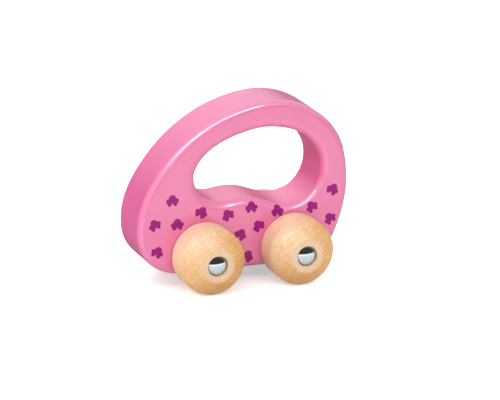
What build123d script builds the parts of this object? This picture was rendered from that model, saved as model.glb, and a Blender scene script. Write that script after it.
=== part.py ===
from build123d import *
import math
import os

# Wooden hand-held pull back car.
# Frame: +X to the front of the car, +Y to its left side, +Z up.
# Origin: on the floor under the middle of the car's outline. Millimetres.

# ---------------------------------------------------------------- sizes
BODY_T = 36.0            # thickness of the wooden body
BODY_ROUND = 4.0         # round-over on the outer edge
HOLE_ROUND = 5.0         # round-over on the hand hole
BODY_BOTTOM = 8.7        # height of the flat underside
X0 = -2.25               # shift that centres the outline on X = 0

WHEEL_R = 20.0
WHEEL_IN = 18.8          # wheel's inner face, from the mid plane
WHEEL_OUT = 43.3         # wheel's hub face
HUB_R = 10.1             # hub face's radius
FRONT_X = 25.5           # front axle
REAR_X = -30.0           # rear axle, which the motor drives
AXLE_Z = 20.0
AXLE_R = 2.0
AXLE_END = 42.5

RECESS_R = 6.2           # seat for the axle cap in the hub
RECESS_Y = 40.6
CAP_R = 6.0

MODULE = 0.6             # gear train
AXLE_T, CLUTCH_BIG_T, CLUTCH_SMALL_T, SPRING_T = 16, 24, 10, 30
BACKLASH = 0.16

CLUTCH_XZ = (REAR_X + 11.314, AXLE_Z + 4.0)
SPRING_XZ = (REAR_X + 22.933, AXLE_Z + 1.0)

CASE_X0, CASE_X1 = REAR_X - 7.8, REAR_X + 34.7
CASE_Z0, CASE_Z1 = 9.2, 35.8
CASE_HALF = 12.0
CASE_WALL = 1.6

H = BODY_T / 2
os.makedirs("parts", exist_ok=True)


def at(y):
    """Sketch plane across the car at that y: local x is +X, local y is +Z, and extrusion goes towards -Y."""
    return Plane(origin=(0, y, 0), x_dir=(1, 0, 0), z_dir=(0, -1, 0))


def save(part, name):
    part.label = name
    export_step(part, f"parts/{name}.step")
    print(name, "volume", round(part.volume, 2), "solids", len(part.solids()))


# ---------------------------------------------------------------- body
# The side outline as (distance behind the reference, height) pairs, front bottom round the top to rear bottom.
OUTLINE = [
    (-41.0, 8.7), (-47.2, 9.6), (-53.8, 12.1), (-59.5, 15.9), (-64.0, 21.1), (-67.0, 28.0),
    (-67.9, 36.6), (-66.9, 45.8), (-63.5, 56.0), (-56.4, 68.2), (-47.6, 79.2), (-37.3, 88.9),
    (-25.7, 96.9), (-12.8, 103.1), (0.5, 107.0), (14.0, 108.8), (25.6, 107.7), (36.4, 104.0),
    (47.0, 97.2), (55.3, 88.4), (60.5, 78.0), (62.8, 66.5), (63.4, 55.5), (61.6, 41.5),
    (57.4, 28.2), (53.2, 19.4), (48.6, 13.4), (43.2, 10.0), (37.0, 8.7),
]
HOLE = [
    (12.9, 92.4), (24.2, 90.9), (33.5, 87.5), (40.6, 82.2), (45.2, 75.4), (47.1, 67.2),
    (46.0, 59.2), (42.4, 52.4), (37.0, 47.6), (30.5, 45.2), (24.0, 44.8), (17.5, 46.0),
    (11.0, 48.2), (4.4, 50.4), (-2.8, 51.2), (-10.2, 50.6), (-16.8, 50.1), (-21.6, 51.1),
    (-25.6, 53.4), (-28.8, 56.6), (-31.3, 60.8), (-32.4, 66.4), (-30.0, 73.2), (-23.2, 80.8),
    (-14.0, 86.2), (-4.0, 89.8), (4.5, 91.7),
]


def side(points):
    return [(-x + X0, z) for x, z in points]


outline = side(OUTLINE)
hole = side(HOLE)

with BuildPart() as body:
    with BuildSketch(at(H)):
        with BuildLine():
            Spline(*outline, tangents=[(1, 0), (1, 0)], tangent_scalars=[0.6, 0.6])
            Line(outline[-1], outline[0])
        make_face()
    extrude(amount=BODY_T)
    # round-over all round both sides
    sides = body.faces().filter_by(Axis.Y)
    fillet(sides.edges(), BODY_ROUND)
    # hand hole with its own, larger round-over
    with BuildSketch(at(H + 1)):
        with BuildLine():
            Spline(*hole, periodic=True)
        make_face()
    extrude(amount=BODY_T + 2, mode=Mode.SUBTRACT)
    rims = [e for e in body.edges()
            if abs(abs(e.center().Y) - H) < 0.01 and abs(e.bounding_box().size.Y) < 0.01
            and e.bounding_box().min.Z > 40 and e.bounding_box().max.Z < 96]
    fillet(rims, HOLE_ROUND)
    # front axle bore, which takes the two bushes
    with BuildSketch(at(H + 1)):
        with Locations((FRONT_X, AXLE_Z)):
            Circle(3.0)
    extrude(amount=BODY_T + 2, mode=Mode.SUBTRACT)
    # motor pocket from below
    with BuildSketch(Plane.XY.offset(BODY_BOTTOM - 1)):
        with Locations(((CASE_X0 + CASE_X1) / 2, 0)):
            RectangleRounded(CASE_X1 - CASE_X0 + 0.8, 2 * CASE_HALF + 0.8, 1.2)
    extrude(amount=CASE_Z1 + 0.4 - (BODY_BOTTOM - 1), mode=Mode.SUBTRACT)
    # ledges for the motor's ears
    with BuildSketch(Plane.XY.offset(BODY_BOTTOM - 1)):
        with Locations(((CASE_X0 + CASE_X1) / 2, 0)):
            RectangleRounded(CASE_X1 - CASE_X0 + 13.6, 13.2, 2.5)
    extrude(amount=13.0 - (BODY_BOTTOM - 1), mode=Mode.SUBTRACT)
    # slots that let the motor and its axle drop in from below
    with BuildSketch(at(H + 1)):
        with Locations((REAR_X, AXLE_Z)):
            Circle(2.7)
        with Locations((REAR_X, (AXLE_Z + BODY_BOTTOM - 1) / 2)):
            Rectangle(5.4, AXLE_Z - BODY_BOTTOM + 1)
    extrude(amount=BODY_T + 2, mode=Mode.SUBTRACT)
    # pilot holes for the four motor screws
    with BuildSketch(Plane.XY.offset(12.5)):
        with Locations(*[(x, y) for x in (CASE_X0 - 3.4, CASE_X1 + 3.4) for y in (-3.4, 3.4)]):
            Circle(1.25)
    extrude(amount=10.0, mode=Mode.SUBTRACT)
save(body.part, "body")


# ---------------------------------------------------------------- gears
def gear_points(n, centre, turn, backlash=BACKLASH):
    """Involute spur gear outline as points, with one tooth centred at the angle turn."""
    rp = MODULE * n / 2
    ra = rp + 0.92 * MODULE
    rr = rp - 1.2 * MODULE
    pa = math.radians(20)
    rb = rp * math.cos(pa)
    inv = lambda a: math.tan(a) - a
    half = math.pi / (2 * n) - backlash / (4 * rp)
    radii = [max(rb, rr)] + [max(rb, rr) + (ra - max(rb, rr)) * k / 4 for k in (1, 2, 3, 4)]
    flank = []
    for r in radii:
        a = math.acos(min(1, rb / r))
        flank.append((r, half + inv(pa) - inv(a)))
    pts = []
    for k in range(n):
        c = turn + 2 * math.pi * k / n
        foot = flank[0][1]
        if rr < flank[0][0]:
            pts.append((rr, c - foot))
        pts += [(r, c - t) for r, t in flank]
        pts += [(r, c + t) for r, t in reversed(flank)]
        if rr < flank[0][0]:
            pts.append((rr, c + foot))
    return [(centre[0] + r * math.cos(t), centre[1] + r * math.sin(t)) for r, t in pts]


alpha = math.atan2(CLUTCH_XZ[1] - AXLE_Z, CLUTCH_XZ[0] - REAR_X)
beta = math.atan2(SPRING_XZ[1] - CLUTCH_XZ[1], SPRING_XZ[0] - CLUTCH_XZ[0])
print("centre distances", round(math.dist((REAR_X, AXLE_Z), CLUTCH_XZ), 3), round(math.dist(CLUTCH_XZ, SPRING_XZ), 3))

with BuildPart() as rear_axle_gear:
    with BuildSketch(at(8.4)):
        with BuildLine():
            Polyline(*gear_points(AXLE_T, (REAR_X, AXLE_Z), alpha), close=True)
        make_face()
    extrude(amount=3.6)
    with BuildSketch(at(4.8)):
        with Locations((REAR_X, AXLE_Z)):
            Circle(3.3)
    extrude(amount=4.0)
    with BuildSketch(at(9)):
        with Locations((REAR_X, AXLE_Z)):
            Circle(AXLE_R)
    extrude(amount=10, mode=Mode.SUBTRACT)
save(rear_axle_gear.part, "rear_axle_gear")

with BuildPart() as clutch_gear:
    with BuildSketch(at(8.2)):
        with BuildLine():
            Polyline(*gear_points(CLUTCH_BIG_T, CLUTCH_XZ, alpha + math.pi + math.pi / CLUTCH_BIG_T), close=True)
        make_face()
    extrude(amount=3.2)
    with BuildSketch(at(5.0)):
        with BuildLine():
            Polyline(*gear_points(CLUTCH_SMALL_T, CLUTCH_XZ, beta), close=True)
        make_face()
    extrude(amount=4.4)
    with BuildSketch(at(9)):
        with Locations(CLUTCH_XZ):
            Circle(1.0)
    extrude(amount=12, mode=Mode.SUBTRACT)
save(clutch_gear.part, "clutch_gear")

with BuildPart() as clutch_gear_shaft:
    with BuildSketch(at(11.4)):
        with Locations(CLUTCH_XZ):
            Circle(1.0)
    extrude(amount=22.8)
    chamfer(clutch_gear_shaft.edges(), 0.2)
save(clutch_gear_shaft.part, "clutch_gear_shaft")

with BuildPart() as spring_gear:
    with BuildSketch(at(4.4)):
        with BuildLine():
            Polyline(*gear_points(SPRING_T, SPRING_XZ, beta + math.pi + math.pi / SPRING_T), close=True)
        make_face()
    extrude(amount=3.2)
    with BuildSketch(at(4.4)):                       # shallow dish either side of the web
        with Locations(SPRING_XZ):
            Circle(7.2)
            Circle(3.6, mode=Mode.SUBTRACT)
    extrude(amount=0.8, mode=Mode.SUBTRACT)
    with BuildSketch(at(10.1)):                      # long hub up to the left wall of the case
        with Locations(SPRING_XZ):
            Circle(3.0)
    extrude(amount=5.8)
    with BuildSketch(at(11)):
        with Locations(SPRING_XZ):
            Circle(1.5)
    extrude(amount=12, mode=Mode.SUBTRACT)
save(spring_gear.part, "spring_gear")

with BuildPart() as spring_arbor:
    with BuildSketch(at(11.4)):
        with Locations(SPRING_XZ):
            Circle(1.5)
    extrude(amount=22.8)
    with BuildSketch(at(1.2)):
        with Locations(SPRING_XZ):
            Circle(2.6)
    extrude(amount=11.3)
save(spring_arbor.part, "spring_arbor")

# Flat coiled spring, lying open against its drum as it does when it is run down.
COILS, STEPS = 7, 30
SPRING_IN, SPRING_OUT, STRIP = 2.64, 8.45, 0.3
spiral = []
for k in range(COILS * STEPS + 1):
    s = k / (COILS * STEPS)
    spiral.append((SPRING_IN + (SPRING_OUT - SPRING_IN - STRIP) * (1.45 * s - 0.45 * s * s), 2 * math.pi * k / STEPS))
inner = [(SPRING_XZ[0] + r * math.cos(t), SPRING_XZ[1] + r * math.sin(t)) for r, t in spiral]
outer = [(SPRING_XZ[0] + (r + STRIP) * math.cos(t), SPRING_XZ[1] + (r + STRIP) * math.sin(t)) for r, t in spiral]
with BuildPart() as mainspring:
    with BuildSketch(at(-0.4)):
        with BuildLine():
            Polyline(*inner, *reversed(outer), close=True)
        make_face()
    extrude(amount=9.2)
save(mainspring.part, "mainspring")


# ---------------------------------------------------------------- motor case
BOSSES = [(REAR_X - 4.1, AXLE_Z + 12.1), (REAR_X + 11.3, AXLE_Z - 7.1), (REAR_X + 31.5, AXLE_Z + 12.4)]
EARS = (CASE_X0 - 3.4, CASE_X1 + 3.4)
slot_dir = math.degrees(beta) + 90          # the clutch shaft's slot runs across the line to the spring gear


def case_half(sign):
    """One half of the motor case, open at the mid plane. sign is +1 for the left half."""
    top = CASE_HALF if sign > 0 else 0.0    # the half's highest y
    cx, cz = (CASE_X0 + CASE_X1) / 2, (CASE_Z0 + CASE_Z1) / 2
    with BuildPart() as half:
        with BuildSketch(at(top)):
            with Locations((cx, cz)):
                RectangleRounded(CASE_X1 - CASE_X0, CASE_Z1 - CASE_Z0, 2.0)
        extrude(amount=CASE_HALF)
        outer_y = sign * CASE_HALF
        face_edges = [e for e in half.edges() if abs(e.center().Y - outer_y) < 1e-6]
        fillet(face_edges, 0.8)
        with BuildSketch(at(CASE_HALF - CASE_WALL if sign > 0 else 0.0)):
            with Locations((cx, cz)):
                RectangleRounded(CASE_X1 - CASE_X0 - 2 * CASE_WALL, CASE_Z1 - CASE_Z0 - 2 * CASE_WALL, 1.0)
        extrude(amount=CASE_HALF - CASE_WALL, mode=Mode.SUBTRACT)
        # three screw bosses
        with BuildSketch(at(top - (0.5 if sign > 0 else 0))):
            with Locations(*BOSSES):
                Circle(2.5)
        extrude(amount=CASE_HALF - 0.5)
        if sign < 0:
            # fixed drum that the spring opens against
            with BuildSketch(at(-0.1)):
                with Locations(SPRING_XZ):
                    Circle(9.9)
                    Circle(9.0, mode=Mode.SUBTRACT)
            extrude(amount=CASE_HALF - CASE_WALL)
        # axle bearing, inside collar and bore
        collar = 10.6 if sign > 0 else -8.9
        with BuildSketch(at(collar)):
            with Locations((REAR_X, AXLE_Z)):
                Circle(3.6)
        extrude(amount=1.8)
        with BuildSketch(at(top + 1)):
            with Locations((REAR_X, AXLE_Z)):
                Circle(AXLE_R + 0.06)
        extrude(amount=CASE_HALF + 2, mode=Mode.SUBTRACT)
        # blind slots for the clutch shaft, and blind bearings for the spring arbor
        seat = 11.5 if sign > 0 else -9.9
        with BuildSketch(at(seat)):
            with Locations(Location((CLUTCH_XZ[0] + 0.9 * math.cos(math.radians(slot_dir)),
                                     CLUTCH_XZ[1] + 0.9 * math.sin(math.radians(slot_dir)), 0), (0, 0, slot_dir))):
                SlotCenterToCenter(1.8, 2.12)
            with Locations(SPRING_XZ):
                Circle(1.56)
        extrude(amount=1.6, mode=Mode.SUBTRACT)
        # ears, each with its screw hole
        ear_y = 3.05 * sign
        for x, reach in ((EARS[0], 1), (EARS[1], -1)):
            with BuildSketch(Plane.XY.offset(11.0)):
                with Locations((x + reach * 1.2, ear_y)):
                    RectangleRounded(8.0, 5.9, 1.2)
            extrude(amount=1.9)
            with BuildSketch(Plane.XY.offset(10)):
                with Locations((x, 3.4 * sign)):
                    Circle(1.32)
            extrude(amount=4, mode=Mode.SUBTRACT)
        # case screws: a head seat in the right half, pilot holes in the left
        with BuildSketch(at(top + 0.01 if sign < 0 else 8.0)):
            with Locations(*BOSSES):
                Circle(1.02 if sign < 0 else 1.0)
        extrude(amount=CASE_HALF + 1 if sign < 0 else 8.5, mode=Mode.SUBTRACT)
        if sign < 0:
            with BuildSketch(at(-10.4)):
                with Locations(*BOSSES):
                    Circle(1.95)
            extrude(amount=2, mode=Mode.SUBTRACT)
    return half.part


motor_case_left = case_half(1)
motor_case_right = case_half(-1)
save(motor_case_left, "motor_case_left")
save(motor_case_right, "motor_case_right")

with BuildPart() as motor_case_screws:
    with BuildSketch(at(-10.42)):
        with Locations(*BOSSES):
            Circle(1.8)
    extrude(amount=1.3)
    with BuildSketch(at(7.5)):
        with Locations(*BOSSES):
            Circle(1.0)
    extrude(amount=18.0)
    with BuildSketch(at(-11.1)):                     # cross recess
        with Locations(*BOSSES):
            Rectangle(1.9, 0.45)
            Rectangle(0.45, 1.9)
    extrude(amount=1.0, mode=Mode.SUBTRACT)
save(motor_case_screws.part, "motor_case_screws")

SCREW_XY = [(x, y) for x in EARS for y in (-3.4, 3.4)]
with BuildPart() as motor_mount_screws:
    with BuildSketch(Plane.XY.offset(9.1)):
        with Locations(*SCREW_XY):
            Circle(2.3)
    extrude(amount=1.88)
    heads = [e for e in motor_mount_screws.edges() if abs(e.center().Z - 9.1) < 1e-6]
    fillet(heads, 0.7)
    with BuildSketch(Plane.XY.offset(10.9)):
        with Locations(*SCREW_XY):
            Circle(1.25)
    extrude(amount=9.2)
    tips = [e for e in motor_mount_screws.edges() if abs(e.center().Z - 20.1) < 1e-6]
    chamfer(tips, 0.9)
    with BuildSketch(Plane.XY.offset(9.0)):
        with Locations(*SCREW_XY):
            Rectangle(2.5, 0.55)
            Rectangle(0.55, 2.5)
    extrude(amount=1.1, mode=Mode.SUBTRACT)
save(motor_mount_screws.part, "motor_mount_screws")


# ---------------------------------------------------------------- axles
def axle(x):
    with BuildPart() as rod:
        with BuildSketch(at(AXLE_END)):
            with Locations((x, AXLE_Z)):
                Circle(AXLE_R)
        extrude(amount=2 * AXLE_END)
        chamfer(rod.edges().filter_by(GeomType.CIRCLE), 0.4)
    return rod.part


front_axle = axle(FRONT_X)
save(front_axle, "front_axle")
rear_axle = axle(REAR_X)
save(rear_axle, "rear_axle")

for name, s in (("left", 1), ("right", -1)):
    with BuildPart() as front_axle_bush:
        with BuildSketch(at(H + 0.6 if s > 0 else -H)):
            with Locations((FRONT_X, AXLE_Z)):
                Circle(5.2)
        extrude(amount=0.6)
        with BuildSketch(at(H if s > 0 else -H + 9)):
            with Locations((FRONT_X, AXLE_Z)):
                Circle(3.0)
        extrude(amount=9.0)
        with BuildSketch(at(H + 1 if s > 0 else -H + 10)):
            with Locations((FRONT_X, AXLE_Z)):
                Circle(AXLE_R + 0.06)
        extrude(amount=12, mode=Mode.SUBTRACT)
    save(front_axle_bush.part, f"front_axle_bush_{name}")

    with BuildPart() as rear_axle_washer:
        with BuildSketch(at(H + 0.6 if s > 0 else -H)):
            with Locations((REAR_X, AXLE_Z)):
                Circle(5.2)
                Circle(AXLE_R + 0.08, mode=Mode.SUBTRACT)
        extrude(amount=0.6)
    save(rear_axle_washer.part, f"rear_axle_washer_{name}")


# ---------------------------------------------------------------- wheels
def wheel(x, s, bore):
    """Turned wooden wheel. s is +1 on the left side of the car."""
    section = Plane(origin=(x, 0, AXLE_Z), x_dir=(0, s, 0), z_dir=(s, 0, 0))
    with BuildPart() as made:
        with BuildSketch(section):
            with BuildLine():
                Line((WHEEL_IN, bore), (WHEEL_IN, WHEEL_R - 0.6))
                RadiusArc((WHEEL_IN, WHEEL_R - 0.6), (WHEEL_IN + 0.6, WHEEL_R), 0.6)
                Line((WHEEL_IN + 0.6, WHEEL_R), (32.6, WHEEL_R))
                Spline((32.6, WHEEL_R), (35.4, 19.1), (38.2, 17.0), (41.0, 13.8), (WHEEL_OUT, HUB_R), tangents=[(1, 0), (0.58, -1)],
                       tangent_scalars=[1.0, 0.8])
                Line((WHEEL_OUT, HUB_R), (WHEEL_OUT, RECESS_R))
                Line((WHEEL_OUT, RECESS_R), (RECESS_Y, RECESS_R))
                Line((RECESS_Y, RECESS_R), (RECESS_Y, bore))
                Line((RECESS_Y, bore), (WHEEL_IN, bore))
            make_face()
        revolve(axis=Axis((x, 0, AXLE_Z), (0, 1, 0)))
        # soften the hub's corners
        hub = [e for e in made.edges() if abs(e.center().Y - s * WHEEL_OUT) < 1e-3]
        fillet([e for e in hub if e.radius > 8], 0.4)
        fillet([e for e in made.edges() if e.geom_type == GeomType.CIRCLE and abs(e.radius - RECESS_R) < 1e-3
                and abs(e.arc_center.Y - s * WHEEL_OUT) < 1e-3], 0.15)
    return made.part


WHEELS = {
    "front_left_wheel": (FRONT_X, 1, AXLE_R + 0.08),
    "front_right_wheel": (FRONT_X, -1, AXLE_R + 0.08),
    "rear_left_wheel": (REAR_X, 1, AXLE_R),
    "rear_right_wheel": (REAR_X, -1, AXLE_R),
}
for name, (x, s, bore) in WHEELS.items():
    save(wheel(x, s, bore), name)


# ---------------------------------------------------------------- axle caps and lock washers
def cap(x, s):
    """Pressed dome with a turned-in rim that holds the lock washer."""
    section = Plane(origin=(x, 0, AXLE_Z), x_dir=(0, s, 0), z_dir=(s, 0, 0))
    y0 = RECESS_Y + 0.25
    with BuildPart() as made:
        with BuildSketch(section):
            with BuildLine():
                Line((y0, 4.9), (y0, CAP_R - 0.35))
                RadiusArc((y0, CAP_R - 0.35), (y0 + 0.35, CAP_R), 0.35)
                Line((y0 + 0.35, CAP_R), (y0 + 1.05, CAP_R))
                TangentArc((y0 + 2.75, 0), (y0 + 1.05, CAP_R), tangent=(0, 1))
                Line((y0 + 2.75, 0), (y0 + 2.4, 0))
                TangentArc((y0 + 2.4, 0), (y0 + 0.9, CAP_R - 0.35), tangent=(0, 1))
                Line((y0 + 0.9, CAP_R - 0.35), (y0 + 0.35, CAP_R - 0.35))
                Line((y0 + 0.35, CAP_R - 0.35), (y0 + 0.35, 4.9))
                Line((y0 + 0.35, 4.9), (y0, 4.9))
            make_face()
        revolve(axis=Axis((x, 0, AXLE_Z), (0, 1, 0)))
    return made.part


def lock_washer(x, s):
    """Spring steel washer whose six tongues bite on the axle."""
    y0 = RECESS_Y + 0.7
    with BuildPart() as made:
        with BuildSketch(at(s * y0 + (0.4 if s > 0 else 0))):
            with Locations((x, AXLE_Z)):
                Circle(5.55)
                Circle(AXLE_R, mode=Mode.SUBTRACT)
                with PolarLocations(2.9, 6):
                    Rectangle(2.6, 0.5, mode=Mode.SUBTRACT)
        extrude(amount=0.4)
    return made.part


for name, x, s in (("front_left", FRONT_X, 1), ("front_right", FRONT_X, -1), ("rear_left", REAR_X, 1), ("rear_right", REAR_X, -1)):
    save(cap(x, s), f"axle_cap_{name}")
    save(lock_washer(x, s), f"lock_washer_{name}")
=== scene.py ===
import math
import random

import bpy
from mathutils import Matrix, Vector
from mathutils.bvhtree import BVHTree


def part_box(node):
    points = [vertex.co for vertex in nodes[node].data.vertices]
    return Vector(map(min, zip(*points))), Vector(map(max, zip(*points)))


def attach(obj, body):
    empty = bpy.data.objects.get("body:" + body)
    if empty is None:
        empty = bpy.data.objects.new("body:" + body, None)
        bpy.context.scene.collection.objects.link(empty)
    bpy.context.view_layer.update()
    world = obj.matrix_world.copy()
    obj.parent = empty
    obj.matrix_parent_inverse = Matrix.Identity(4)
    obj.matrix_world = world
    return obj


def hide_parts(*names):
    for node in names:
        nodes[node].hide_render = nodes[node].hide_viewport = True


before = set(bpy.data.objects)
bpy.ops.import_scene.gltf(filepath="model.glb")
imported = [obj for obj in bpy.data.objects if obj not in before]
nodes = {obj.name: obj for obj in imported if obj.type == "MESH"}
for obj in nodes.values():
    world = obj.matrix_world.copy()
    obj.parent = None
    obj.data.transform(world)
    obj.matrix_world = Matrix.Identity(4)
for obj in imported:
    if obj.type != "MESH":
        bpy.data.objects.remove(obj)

random.seed(7)
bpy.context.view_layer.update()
scene = bpy.context.scene
HALF = 0.018                                   # half the body's thickness


def srgb(r, g, b):
    """Linear colour from 0-255 display values."""
    def f(c):
        c /= 255.0
        return c / 12.92 if c <= 0.04045 else ((c + 0.055) / 1.055) ** 2.4
    return (f(r), f(g), f(b), 1.0)


# ------------------------------------------------------------------ node helpers
class Mat:
    """A material under construction: n() adds a node, link() joins sockets."""

    def __init__(self, name):
        self.m = bpy.data.materials.new(name)
        self.m.use_nodes = True
        self.t = self.m.node_tree
        self.t.nodes.clear()
        self.out = self.t.nodes.new("ShaderNodeOutputMaterial")
        self.bsdf = self.t.nodes.new("ShaderNodeBsdfPrincipled")
        self.link(self.bsdf.outputs["BSDF"], self.out.inputs["Surface"])
        self.coord = self.t.nodes.new("ShaderNodeTexCoord")

    def link(self, a, b):
        self.t.links.new(a, b)

    def n(self, kind, **values):
        node = self.t.nodes.new(kind)
        for k, v in values.items():
            if k in node.inputs.keys():
                node.inputs[k].default_value = v
            else:
                setattr(node, k, v)
        return node

    def set(self, **values):
        for k, v in values.items():
            self.bsdf.inputs[k.replace("_", " ")].default_value = v

    def mapping(self, scale=(1, 1, 1), rotation=(0, 0, 0), location=(0, 0, 0), source=None):
        node = self.n("ShaderNodeMapping")
        node.inputs["Scale"].default_value = scale
        node.inputs["Rotation"].default_value = rotation
        node.inputs["Location"].default_value = location
        self.link(source or self.coord.outputs["Object"], node.inputs["Vector"])
        return node.outputs["Vector"]

    def noise(self, vector, scale, detail=4.0, roughness=0.55, distortion=0.0):
        node = self.n("ShaderNodeTexNoise")
        node.inputs["Scale"].default_value = scale
        node.inputs["Detail"].default_value = detail
        node.inputs["Roughness"].default_value = roughness
        node.inputs["Distortion"].default_value = distortion
        self.link(vector, node.inputs["Vector"])
        return node.outputs["Fac"]

    def ramp(self, fac, stops, interpolation="LINEAR"):
        node = self.n("ShaderNodeValToRGB")
        node.color_ramp.interpolation = interpolation
        e = node.color_ramp.elements
        while len(e) > len(stops):
            e.remove(e[-1])
        while len(e) < len(stops):
            e.new(0.5)
        for k, (p, c) in enumerate(stops):
            e[k].position = p
            e[k].color = c if len(c) == 4 else (*c, 1.0)
        self.link(fac, node.inputs["Fac"])
        return node.outputs["Color"]

    def math(self, op, a, b=None, clamp=False):
        node = self.n("ShaderNodeMath", operation=op, use_clamp=clamp)
        for k, v in enumerate((a, b)):
            if v is None:
                continue
            if isinstance(v, (int, float)):
                node.inputs[k].default_value = v
            else:
                self.link(v, node.inputs[k])
        return node.outputs["Value"]

    def mix(self, fac, a, b, blend="MIX"):
        node = self.n("ShaderNodeMix", data_type="RGBA", blend_type=blend)
        for name, v in (("Factor", fac), ("A", a), ("B", b)):
            sock = [s for s in node.inputs if s.name == name and s.enabled][0]
            if isinstance(v, (int, float)):
                sock.default_value = v
            elif isinstance(v, tuple):
                sock.default_value = v
            else:
                self.link(v, sock)
        return [s for s in node.outputs if s.enabled][0]

    def range(self, v, lo, hi):
        node = self.n("ShaderNodeMapRange")
        node.inputs["To Min"].default_value = lo
        node.inputs["To Max"].default_value = hi
        self.link(v, node.inputs["Value"])
        return node.outputs["Result"]

    def bump(self, height, distance, strength=1.0, normal=None):
        node = self.n("ShaderNodeBump")
        node.inputs["Strength"].default_value = strength
        node.inputs["Distance"].default_value = distance
        self.link(height, node.inputs["Height"])
        if normal is not None:
            self.link(normal, node.inputs["Normal"])
        return node.outputs["Normal"]


# ------------------------------------------------------------------ materials
def painted_wood():
    """Pink paint and satin lacquer on beech, its long pores just showing in relief."""
    m = Mat("painted_wood")
    grain = m.mapping(scale=(60, 700, 700), rotation=(0, math.radians(3), 0))
    pores = m.noise(grain, 1.0, 5, 0.6, 0.3)
    cloud = m.noise(m.mapping(scale=(1, 1, 1)), 22, 3, 0.5)
    streak = m.noise(m.mapping(scale=(18, 160, 160), rotation=(0, math.radians(3), 0)), 1.0, 3, 0.5, 0.4)
    base = m.ramp(cloud, [(0.25, srgb(226, 110, 158)), (0.75, srgb(231, 117, 165))])
    base = m.mix(m.range(streak, 0.0, 0.22), base, srgb(216, 102, 151))
    # the fibres run along X; faces turned along X, at the two ends and at the end walls of the hand hole, are drawn
    # deeper, partly as end grain that takes up more paint and partly as painted shade for the shade those walls sit in
    facing = m.n("ShaderNodeSeparateXYZ")
    m.link(m.coord.outputs["Normal"], facing.inputs["Vector"])
    ends = m.n("ShaderNodeMapRange", interpolation_type="SMOOTHSTEP")
    ends.inputs["From Min"].default_value = 0.40
    ends.inputs["From Max"].default_value = 0.98
    m.link(m.math("ABSOLUTE", facing.outputs["X"]), ends.inputs["Value"])
    base = m.mix(m.math("MULTIPLY", ends.outputs["Result"], 0.85), base, srgb(222, 78, 148))
    # paler on the rounded edges, which face neither along Y nor across it
    rim = m.ramp(m.math("ABSOLUTE", facing.outputs["Y"]), [(0.10, (0, 0, 0)), (0.40, (1, 1, 1)), (0.90, (1, 1, 1)), (0.985, (0, 0, 0))])
    base = m.mix(m.math("MULTIPLY", rim, 0.22), base, srgb(250, 168, 202))
    m.link(base, m.bsdf.inputs["Base Color"])
    m.link(m.range(m.noise(m.mapping(), 90, 3, 0.6), 0.50, 0.60), m.bsdf.inputs["Roughness"])
    fine = m.noise(m.mapping(), 900, 2, 0.5)
    n1 = m.bump(pores, 0.00005, 0.5)
    n2 = m.bump(fine, 0.00002, 0.35, n1)
    m.link(n2, m.bsdf.inputs["Normal"])
    m.set(Coat_Weight=0.8, Coat_Roughness=0.04, Coat_IOR=1.5, Specular_IOR_Level=0.70)
    return m.m


def ink():
    """Purple screen-printed ink, a little uneven and glossier than the paint under it."""
    m = Mat("printed_ink")
    v = m.mapping()
    mottled = m.noise(v, 420, 4, 0.6)
    base = m.ramp(mottled, [(0.25, srgb(141, 6, 109)), (0.55, srgb(152, 9, 118)), (0.8, srgb(163, 16, 129))])
    m.link(base, m.bsdf.inputs["Base Color"])
    m.link(m.range(m.noise(v, 800, 2, 0.5), 0.30, 0.48), m.bsdf.inputs["Roughness"])
    m.link(m.bump(m.noise(v, 1400, 2, 0.5), 0.00002, 0.4), m.bsdf.inputs["Normal"])
    m.set(Coat_Weight=0.15, Coat_Roughness=0.15, Coat_IOR=1.42, Specular_IOR_Level=0.2)
    return m.m


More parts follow.
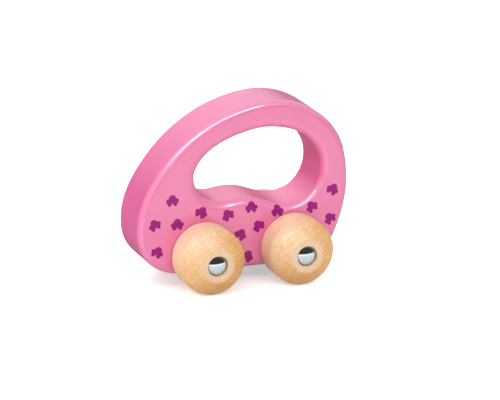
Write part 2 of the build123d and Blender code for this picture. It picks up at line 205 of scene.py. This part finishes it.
def turned_wood(name, seed, centre, tilt, lit_side):
    """Varnished beech turned on a lathe. The fibres run across the wheel, at the angle tilt, so that the tread shows side grain and end grain by turns."""
    m = Mat(name)
    local = m.mapping(location=(-centre[0], -centre[1], -centre[2]))
    turned = m.mapping(rotation=(0, tilt, 0), location=(seed * 0.037, seed * 0.021, seed * 0.053), source=local)
    # slow growth rings, the fibres, and the short dark flecks that beech shows all over
    wob = m.noise(m.mapping(scale=(20, 110, 110), source=turned), 1.0, 4, 0.55, 0.6)
    ringv = m.mapping(scale=(3, 80, 150), rotation=(0.45, 0, 0), source=turned)
    ring = m.n("ShaderNodeTexWave", wave_type="BANDS", bands_direction="Z", wave_profile="SIN")
    ring.inputs["Scale"].default_value = 0.8
    ring.inputs["Distortion"].default_value = 6.0
    ring.inputs["Detail"].default_value = 3.0
    ring.inputs["Detail Scale"].default_value = 0.6
    ring.inputs["Detail Roughness"].default_value = 0.62
    m.link(ringv, ring.inputs["Vector"])
    fibre = m.noise(m.mapping(scale=(150, 1250, 1250), source=turned), 1.0, 4, 0.62, 0.4)
    fleck = m.noise(m.mapping(scale=(330, 1500, 1500), source=turned), 1.0, 2, 0.5, 0.2)
    base = m.ramp(wob, [(0.36, srgb(228, 172, 104)), (0.50, srgb(236, 192, 138)), (0.64, srgb(244, 209, 165))])
    # painted light and shade: each wheel is drawn paler on the side that light falls on and a deeper orange on its
    # shaded side, and the far rear wheel deeper on top, where it sits in shade
    at = m.n("ShaderNodeSeparateXYZ")
    m.link(local, at.inputs["Vector"])
    across = m.math("ADD", m.math("MULTIPLY", at.outputs["X"], lit_side[0]), m.math("MULTIPLY", at.outputs["Z"], lit_side[1]))
    drift = m.math("ADD", m.math("MULTIPLY", across, 25.0), m.math("MULTIPLY", m.noise(turned, 45, 3, 0.5), 0.5))
    light_shade_tone = m.ramp(drift, [(0.02, srgb(232, 158, 70)), (0.34, srgb(232, 177, 110)), (0.72, srgb(250, 221, 193))])
    base = m.mix(0.60, base, light_shade_tone)
    base = m.mix(m.math("MULTIPLY", ring.outputs["Fac"], 0.18), base, srgb(222, 168, 108))
    dark = m.ramp(fibre, [(0.38, (1, 1, 1)), (0.54, (0, 0, 0))])
    base = m.mix(m.math("MULTIPLY", dark, 0.36), base, srgb(212, 152, 92))
    pale = m.ramp(fibre, [(0.50, (0, 0, 0)), (0.66, (1, 1, 1))])
    base = m.mix(m.math("MULTIPLY", pale, 0.42), base, srgb(250, 222, 186))
    spots = m.ramp(fleck, [(0.57, (0, 0, 0)), (0.64, (1, 1, 1))])
    base = m.mix(m.math("MULTIPLY", spots, 0.36), base, srgb(194, 134, 80))
    # painted light: the tread next to the body is drawn paler and pinker than the shoulder, standing in for the sheen
    # and the pink light the body throws on it
    depth = m.math("ABSOLUTE", m.math("ADD", at.outputs["Y"], centre[1]))
    tread = m.ramp(m.math("MULTIPLY", depth, 20.0), [(0.62, (1, 1, 1)), (0.70, (0, 0, 0))])
    base = m.mix(m.math("MULTIPLY", tread, 0.40), base, srgb(249, 214, 190))
    # painted sheen: the flat hub is drawn paler than the turned shoulder, for the light its flat face catches
    radius = m.math("SQRT", m.math("ADD", m.math("MULTIPLY", at.outputs["X"], at.outputs["X"]), m.math("MULTIPLY", at.outputs["Z"], at.outputs["Z"])))
    hub_sheen = m.ramp(m.math("MULTIPLY", radius, 50.0), [(0.43, (1, 1, 1)), (0.57, (0, 0, 0))])
    base = m.mix(m.math("MULTIPLY", hub_sheen, 0.62), base, srgb(238, 211, 184))
    m.link(base, m.bsdf.inputs["Base Color"])
    m.link(m.range(m.noise(m.mapping(source=turned), 150, 3, 0.6), 0.45, 0.60), m.bsdf.inputs["Roughness"])
    # faint tool marks round the wheel, then the open fibres
    rings = m.n("ShaderNodeTexWave", wave_type="RINGS", rings_direction="Y", wave_profile="SIN")
    rings.inputs["Scale"].default_value = 420.0
    rings.inputs["Distortion"].default_value = 0.6
    m.link(local, rings.inputs["Vector"])
    n1 = m.bump(rings.outputs["Fac"], 0.00002, 0.22)
    n2 = m.bump(fibre, 0.00003, 0.40, n1)
    m.link(n2, m.bsdf.inputs["Normal"])
    m.set(Coat_Weight=0.15, Coat_Roughness=0.42, Coat_IOR=1.5, Specular_IOR_Level=0.25)
    return m.m


def chrome(name, low, high):
    m = Mat(name)
    v = m.mapping()
    smudge = m.noise(v, 260, 4, 0.6)
    m.link(m.ramp(smudge, [(0.3, (0.40, 0.435, 0.465)), (0.7, (0.46, 0.495, 0.525))]), m.bsdf.inputs["Base Color"])
    m.link(m.range(m.noise(v, 700, 3, 0.6), low, high), m.bsdf.inputs["Roughness"])
    m.link(m.bump(m.noise(v, 500, 2, 0.5), 0.00003, 0.18), m.bsdf.inputs["Normal"])
    m.set(Metallic=1.0)
    return m.m


def steel(name, light, dark, rough, along=(3000, 60, 3000)):
    """Drawn or rolled steel, with fine marks along the axle."""
    m = Mat(name)
    streak = m.noise(m.mapping(scale=along), 1.0, 3, 0.6)
    stain = m.noise(m.mapping(), 180, 4, 0.6)
    base = m.mix(m.range(stain, 0.0, 0.6), light, dark)
    m.link(base, m.bsdf.inputs["Base Color"])
    m.link(m.range(streak, rough - 0.08, rough + 0.12), m.bsdf.inputs["Roughness"])
    m.link(m.bump(streak, 0.00002, 0.5), m.bsdf.inputs["Normal"])
    m.set(Metallic=1.0)
    return m.m


def plastic(name, light, dark, rough, spark=0.00004):
    """Moulded plastic with a fine spark-eroded texture."""
    m = Mat(name)
    v = m.mapping()
    flow = m.noise(m.mapping(scale=(1, 1, 2.5)), 110, 4, 0.6, 0.6)
    m.link(m.mix(m.range(flow, 0.0, 1.0), light, dark), m.bsdf.inputs["Base Color"])
    m.link(m.range(m.noise(v, 600, 3, 0.6), rough - 0.07, rough + 0.09), m.bsdf.inputs["Roughness"])
    m.link(m.bump(m.noise(v, 2400, 2, 0.6), spark, 0.5), m.bsdf.inputs["Normal"])
    return m.m


pink = painted_wood()
purple = ink()
caps = chrome("cap_chrome", 0.04, 0.13)
lip_metal = chrome("cap_edge", 0.42, 0.55)
rod = steel("steel_rod", (0.58, 0.59, 0.61, 1), (0.43, 0.44, 0.46, 1), 0.30)
blued = steel("spring_steel", (0.22, 0.24, 0.30, 1), (0.13, 0.14, 0.18, 1), 0.34, (200, 200, 200))
zinc = steel("zinc_screw", (0.66, 0.66, 0.63, 1), (0.50, 0.50, 0.47, 1), 0.36, (900, 900, 900))
nylon = plastic("nylon", (0.80, 0.79, 0.73, 1), (0.72, 0.71, 0.65, 1), 0.45)
case = plastic("case_plastic", (0.030, 0.031, 0.034, 1), (0.045, 0.046, 0.050, 1), 0.50, 0.00007)
acetal = plastic("gear_plastic", (0.84, 0.83, 0.78, 1), (0.76, 0.75, 0.70, 1), 0.34, 0.00002)

# each wheel's fibre angle, seed, and the direction of its painted light: the side drawn paler, as lit, against a
# deeper, shaded side
WHEELS = {"front_left_wheel": (0.55, 3, (0.6, 0.8)), "front_right_wheel": (-0.35, 11, (-0.7, 0.7)), "rear_left_wheel": (-0.75, 5, (0.75, 0.65)), "rear_right_wheel": (0.9, 8, (-0.3, -0.95))}


def paint(names, material):
    for name in names:
        o = nodes[name]
        for s in o.material_slots:
            s.material = material
        if not o.material_slots:
            o.data.materials.append(material)


for name, (tilt, seed, lit_side) in WHEELS.items():
    lo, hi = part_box(name)
    centre = [(a + b) / 2 for a, b in zip(lo, hi)]
    paint([name], turned_wood("turned_" + name, seed, centre, tilt, lit_side))
paint(["body"], pink)

# The caps' domes are turned afresh here, so that their reflections run smoothly over the middle.
def turned(name, body, profile, cx, cz, side, materials, second, steps=128):
    """A lathe piece round the axle line at (cx, cz). profile holds (distance from the mid plane, radius) pairs, and second the rows that take the second material."""
    verts, faces, rows, which = [], [], [], []
    for y, r in profile:
        if r < 1e-7:
            rows.append([len(verts)] * steps)
            verts.append((cx, side * y, cz))
            continue
        rows.append(range(len(verts), len(verts) + steps))
        for k in range(steps):
            a = 2 * math.pi * k / steps
            verts.append((cx + r * math.cos(a), side * y, cz + r * math.sin(a)))
    for row, (p, q) in enumerate(zip(rows, rows[1:])):
        for k in range(steps):
            j = (k + 1) % steps
            quad = list(dict.fromkeys([p[k], p[j], q[j], q[k]]))
            if len(quad) > 2:
                faces.append(quad if side > 0 else quad[::-1])
                which.append(1 if row in second else 0)
    mesh = bpy.data.meshes.new(name)
    mesh.from_pydata(verts, [], faces)
    for material in materials:
        mesh.materials.append(material)
    for p, w in zip(mesh.polygons, which):
        p.use_smooth = True
        p.material_index = w
    mesh.update()
    o = bpy.data.objects.new(name, mesh)
    scene.collection.objects.link(o)
    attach(o, body)
    return o


def arc(y0, r0, y1, r1, n):
    """Points of the circle that leaves (y0, r0) square to the axle and ends at (y1, r1)."""
    rad = (r1 ** 2 + (y0 - y1) ** 2) / (2 * (y0 - y1))
    end = math.asin(min(1.0, r1 / rad))
    return [(y0 - rad + rad * math.cos(end * k / n), rad * math.sin(end * k / n)) for k in range(n + 1)]


for end in ("front_left", "front_right", "rear_left", "rear_right"):
    lo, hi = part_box("axle_cap_" + end)
    side = 1 if "left" in end else -1
    tip = hi[1] if side > 0 else -lo[1]
    y0 = tip - 0.00275
    dome = arc(tip, 0.0, y0 + 0.00105, 0.006, 40)
    inner = arc(tip - 0.00035, 0.0, y0 + 0.0009, 0.00565, 16)
    lip = [(y0 + 0.00035 - 0.00035 * math.sin(math.radians(t)), 0.00565 + 0.00035 * math.cos(math.radians(t))) for t in range(0, 91, 15)]
    profile = dome + lip + [(y0, 0.0049), (y0 + 0.00035, 0.0049), (y0 + 0.00035, 0.00565)] + inner[::-1]
    piece = turned("bright_cap_" + end, "front_axle" if "front" in end else "rear_axle", profile, (lo[0] + hi[0]) / 2, (lo[2] + hi[2]) / 2, side, (caps, lip_metal), range(len(dome) - 2, len(dome) + len(lip)))
    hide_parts("axle_cap_" + end)
paint(["front_axle", "rear_axle", "clutch_gear_shaft", "spring_arbor"], rod)
paint(["mainspring"] + [n for n in nodes if n.startswith("lock_washer")], blued)
paint(["motor_case_screws", "motor_mount_screws"], zinc)
paint([n for n in nodes if "bush" in n or "axle_washer" in n], nylon)
paint(["motor_case_left", "motor_case_right"], case)
paint(["rear_axle_gear", "clutch_gear", "spring_gear"], acetal)


# ------------------------------------------------------------------ printed shapes
# Each printed shape is a generic lobed blob: a round crown, two side lobes and two feet.
LOBES = [((0.0, 1.0), 2.3), ((-2.6, -0.55), 1.45), ((2.6, -0.35), 1.4), ((-1.85, -2.35), 1.3), ((1.75, -2.3), 1.3), ((0.0, -0.4), 1.6)]
PRINTS = [(44.5, 54.9, 0), (55.6, 41.2, 25), (41.6, 40.2, 0), (53.9, 24.5, -30), (26.5, 45.9, -33), (10.4, 42.6, 30),
          (-4.5, 45.9, 0), (-20.9, 41.9, 0), (-42.4, 42.2, 30), (-55.8, 51.6, -33), (-53.9, 33.8, 33), (-8.8, 34.0, 30),
          (2.3, 29.8, -30), (-1.9, 16.1, -30)]


def blob_radius(angle):
    """How far the blob's outline lies from its middle at that angle, in mm."""
    best = 0.6
    c, s = math.cos(angle), math.sin(angle)
    for (x, z), r in LOBES:
        along = x * c + z * s
        off = x * s - z * c
        if abs(off) < r:
            best = max(best, along + math.sqrt(r * r - off * off))
    return best


OUTLINE_STEPS, RINGS = 96, 7
SHAPE = [blob_radius(2 * math.pi * k / OUTLINE_STEPS) for k in range(OUTLINE_STEPS)]
SHAPE = [(SHAPE[k - 1] + 2 * SHAPE[k] + SHAPE[(k + 1) % OUTLINE_STEPS]) / 4 for k in range(OUTLINE_STEPS)]

body_mesh = nodes["body"].data
surface = BVHTree.FromPolygons([nodes["body"].matrix_world @ v.co for v in body_mesh.vertices], [p.vertices[:] for p in body_mesh.polygons])


def printed(side):
    """All the shapes on one side of the body, as a thin skin that follows the surface."""
    verts, faces = [], []
    for px, pz, turn in PRINTS:
        jig = 1.0 + random.uniform(-0.03, 0.03)
        t = math.radians(turn)
        start = len(verts)
        rows = []
        for ring in range(RINGS + 1):
            row = []
            for k in range(OUTLINE_STEPS):
                if ring == 0 and k > 0:
                    row.append(row[0])
                    continue
                a = 2 * math.pi * k / OUTLINE_STEPS
                r = SHAPE[k] * jig * ring / RINGS
                # the photographed side is seen from +Y, where +X is to the left
                x, z = -r * math.cos(a), r * math.sin(a)
                x, z = x * math.cos(t) - z * math.sin(t) * -1, z * math.cos(t) + x * math.sin(t) * -1
                p = Vector(((px + x) / 1000, side * (HALF + 0.01), (pz + z) / 1000))
                hit, normal, _, _ = surface.ray_cast(p, Vector((0, -side, 0)), 0.02)
                lift = 0.00004 if ring < RINGS else 0.00001
                q = Vector((p.x, hit.y + side * lift, p.z)) if hit is not None else Vector((p.x, side * HALF, p.z))
                row.append(len(verts))
                verts.append(q)
            rows.append(row)
        for ring in range(RINGS):
            for k in range(OUTLINE_STEPS):
                j = (k + 1) % OUTLINE_STEPS
                a, b, c, d = rows[ring][k], rows[ring][j], rows[ring + 1][j], rows[ring + 1][k]
                quad = [a, d, c] if a == b else [a, d, c, b]
                faces.append(quad if side > 0 else quad[::-1])
    mesh = bpy.data.meshes.new("printed_shapes")
    mesh.from_pydata(verts, [], faces)
    mesh.validate()
    mesh.update()
    o = bpy.data.objects.new("printed_shapes_left" if side > 0 else "printed_shapes_right", mesh)
    scene.collection.objects.link(o)
    mesh.materials.append(purple)
    for p in mesh.polygons:
        p.use_smooth = True
    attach(o, "car_body")
    return o


printed(1)
printed(-1)

# ------------------------------------------------------------------ floor, light, camera
floor_mesh = bpy.data.meshes.new("floor")
R = 4.0
floor_mesh.from_pydata([(R * math.cos(2 * math.pi * k / 96), R * math.sin(2 * math.pi * k / 96), 0) for k in range(96)], [], [list(range(96))])
floor = bpy.data.objects.new("floor", floor_mesh)
scene.collection.objects.link(floor)
fm = Mat("pale_floor")
# the floor is white to the camera, and dimmer to bounced light; in reflections it is a bright sweep in front of the car and dark behind it, as black and white cards round a studio table would make it
fv = fm.noise(fm.mapping(), 3.0, 3, 0.5)
f_path = fm.n("ShaderNodeLightPath")
f_pale = fm.ramp(fv, [(0.3, (0.93, 0.93, 0.93)), (0.7, (0.95, 0.95, 0.95))])
f_split = fm.n("ShaderNodeSeparateXYZ")
fm.link(fm.coord.outputs["Object"], f_split.inputs["Vector"])
f_near = fm.n("ShaderNodeMapRange", interpolation_type="SMOOTHSTEP")
f_near.inputs["From Min"].default_value = -0.02
f_near.inputs["From Max"].default_value = 0.08
fm.link(f_split.outputs["Y"], f_near.inputs["Value"])
f_far = fm.n("ShaderNodeMapRange", interpolation_type="SMOOTHSTEP")
f_far.inputs["From Min"].default_value = 0.80
f_far.inputs["From Max"].default_value = 0.12
f_length = fm.n("ShaderNodeVectorMath", operation="LENGTH")
fm.link(fm.coord.outputs["Object"], f_length.inputs[0])
fm.link(f_length.outputs["Value"], f_far.inputs["Value"])
f_zone = fm.math("MULTIPLY", f_near.outputs["Result"], f_far.outputs["Result"])
f_mirror = fm.mix(f_zone, (0.14, 0.14, 0.15, 1.0), (0.22, 0.24, 0.25, 1.0))
f_bounce = fm.mix(f_path.outputs["Is Glossy Ray"], (0.76, 0.76, 0.76, 1.0), f_mirror)
fm.link(fm.mix(f_path.outputs["Is Camera Ray"], f_bounce, f_pale), fm.bsdf.inputs["Base Color"])
fm.link(fm.range(fm.noise(fm.mapping(), 60.0, 3, 0.5), 0.75, 0.9), fm.bsdf.inputs["Roughness"])
fm.set(Specular_IOR_Level=0.15, Emission_Color=(1, 1, 1, 1))
f_rise = fm.n("ShaderNodeMapRange", interpolation_type="SMOOTHSTEP")
for f_name, f_value in (("From Min", 0.09), ("From Max", 0.22), ("To Min", 1.15), ("To Max", 2.10)):
    f_rise.inputs[f_name].default_value = f_value
fm.link(f_split.outputs["Y"], f_rise.inputs["Value"])
f_glow = fm.math("MULTIPLY", fm.math("MULTIPLY", f_path.outputs["Is Glossy Ray"], f_zone), f_rise.outputs["Result"])
fm.link(fm.math("ADD", fm.math("MULTIPLY", f_path.outputs["Is Camera Ray"], 0.42), f_glow), fm.bsdf.inputs["Emission Strength"])
floor_mesh.materials.append(fm.m)

BACKDROP, CEILING = 0.70, 0.55
world = bpy.data.worlds.new("studio")
scene.world = world
world.use_nodes = True
wt = world.node_tree
wt.nodes.clear()
w_out = wt.nodes.new("ShaderNodeOutputWorld")
w_path = wt.nodes.new("ShaderNodeLightPath")
w_mix = wt.nodes.new("ShaderNodeMixShader")
w_seen = wt.nodes.new("ShaderNodeBackground")
w_seen.inputs["Color"].default_value = (1, 1, 1, 1)
w_seen.inputs["Strength"].default_value = 1.0
w_room = wt.nodes.new("ShaderNodeBackground")
w_room.inputs["Color"].default_value = (0.96, 0.98, 1.0, 1)
w_coord = wt.nodes.new("ShaderNodeTexCoord")
w_split = wt.nodes.new("ShaderNodeSeparateXYZ")
wt.links.new(w_coord.outputs["Generated"], w_split.inputs["Vector"])


def room(axis, start, end, op=None, other=None, amount=1.0):
    """A soft step along one axis of the room, joined to what came before."""
    step = wt.nodes.new("ShaderNodeMapRange")
    step.interpolation_type = "SMOOTHSTEP"
    step.inputs["From Min"].default_value, step.inputs["From Max"].default_value = start, end
    step.inputs["To Max"].default_value = amount
    wt.links.new(w_split.outputs[axis], step.inputs["Value"])
    if op is None:
        return step.outputs["Result"]
    node = wt.nodes.new("ShaderNodeMath")
    node.operation = op
    wt.links.new(other, node.inputs[0])
    wt.links.new(step.outputs["Result"], node.inputs[1])
    return node.outputs["Value"]


# a white backdrop stands behind the object, a pale ceiling hangs over it, and the front of the room is dark
w_back = room("Y", -0.10, -0.50)
w_back = room("Z", 0.02, 0.40, "MULTIPLY", w_back, BACKDROP)
w_high = room("Z", 0.50, 0.82)
w_high = room("Y", 0.62, 0.25, "MULTIPLY", w_high, CEILING)
w_light = wt.nodes.new("ShaderNodeMath")
w_light.operation = "ADD"
wt.links.new(w_back, w_light.inputs[0])
wt.links.new(w_high, w_light.inputs[1])
w_floor = wt.nodes.new("ShaderNodeMath")
w_floor.operation = "ADD"
w_floor.inputs[1].default_value = 0.08
wt.links.new(w_light.outputs["Value"], w_floor.inputs[0])
wt.links.new(w_floor.outputs["Value"], w_room.inputs["Strength"])
wt.links.new(w_path.outputs["Is Camera Ray"], w_mix.inputs["Fac"])
wt.links.new(w_room.outputs["Background"], w_mix.inputs[1])
wt.links.new(w_seen.outputs["Background"], w_mix.inputs[2])
wt.links.new(w_mix.outputs["Shader"], w_out.inputs["Surface"])


def softbox(name, at, size, watts, colour=(1, 1, 1), target=(0, 0, 0.05), glossy=True, diffuse=True):
    light = bpy.data.lights.new(name, "AREA")
    light.shape = "RECTANGLE"
    light.size, light.size_y = size
    light.energy = watts
    light.color = colour
    o = bpy.data.objects.new(name, light)
    o.location = at
    o.rotation_euler = (Vector(target) - Vector(at)).to_track_quat("-Z", "Y").to_euler()
    o.visible_glossy = glossy
    o.visible_diffuse = diffuse
    scene.collection.objects.link(o)
    return o


# strip lights the surfaces and strip_edge, just in front of it, is what their gloss mirrors
softbox("strip", (0.36, 0.76, 0.99), (1.78, 0.20), 7.6, glossy=False)
softbox("strip_edge", (0.351, 0.742, 0.968), (1.75, 0.09), 32.0, diffuse=False)
softbox("front_fill", (-0.40, 1.25, 0.95), (1.4, 0.8), 5.4, glossy=False)
softbox("front_left", (0.95, 0.95, 0.50), (0.8, 0.6), 3.6, glossy=False)
softbox("side_fill", (1.3, -0.05, 0.18), (0.8, 0.8), 6.2, glossy=False)
softbox("right_fill", (-1.4, 0.0, 0.45), (0.8, 0.8), 5.0, glossy=False)
softbox("rear_fill", (-0.5, -1.1, 0.8), (1.2, 0.8), 9.5, glossy=False)
softbox("rear_low", (0.3, -1.4, 0.25), (1.4, 0.4), 4.5, glossy=False)

AZ, EL = math.radians(159.711), math.radians(17.422)
back = Vector((math.sin(AZ) * math.cos(EL), -math.cos(AZ) * math.cos(EL), math.sin(EL)))
right = Vector((math.cos(AZ), math.sin(AZ), 0))
up = back.cross(right)
look = Vector((-0.00225, 0, 0.020))
eye = look + back * 2.0
aim = look + right * 0.00754 + up * 0.02417
cam_data = bpy.data.cameras.new("camera")
cam_data.sensor_width = 36.0
cam_data.lens = 242.8
cam_data.clip_end = 50.0
camera = bpy.data.objects.new("camera", cam_data)
z = (eye - aim).normalized()
x = Vector((0, 0, 1)).cross(z).normalized()
y = z.cross(x)
camera.matrix_world = Matrix(((x.x, y.x, z.x, eye.x), (x.y, y.y, z.y, eye.y), (x.z, y.z, z.z, eye.z), (0, 0, 0, 1)))
scene.collection.objects.link(camera)
scene.camera = camera
scene.view_settings.view_transform = "Standard"

bpy.context.view_layer.update()
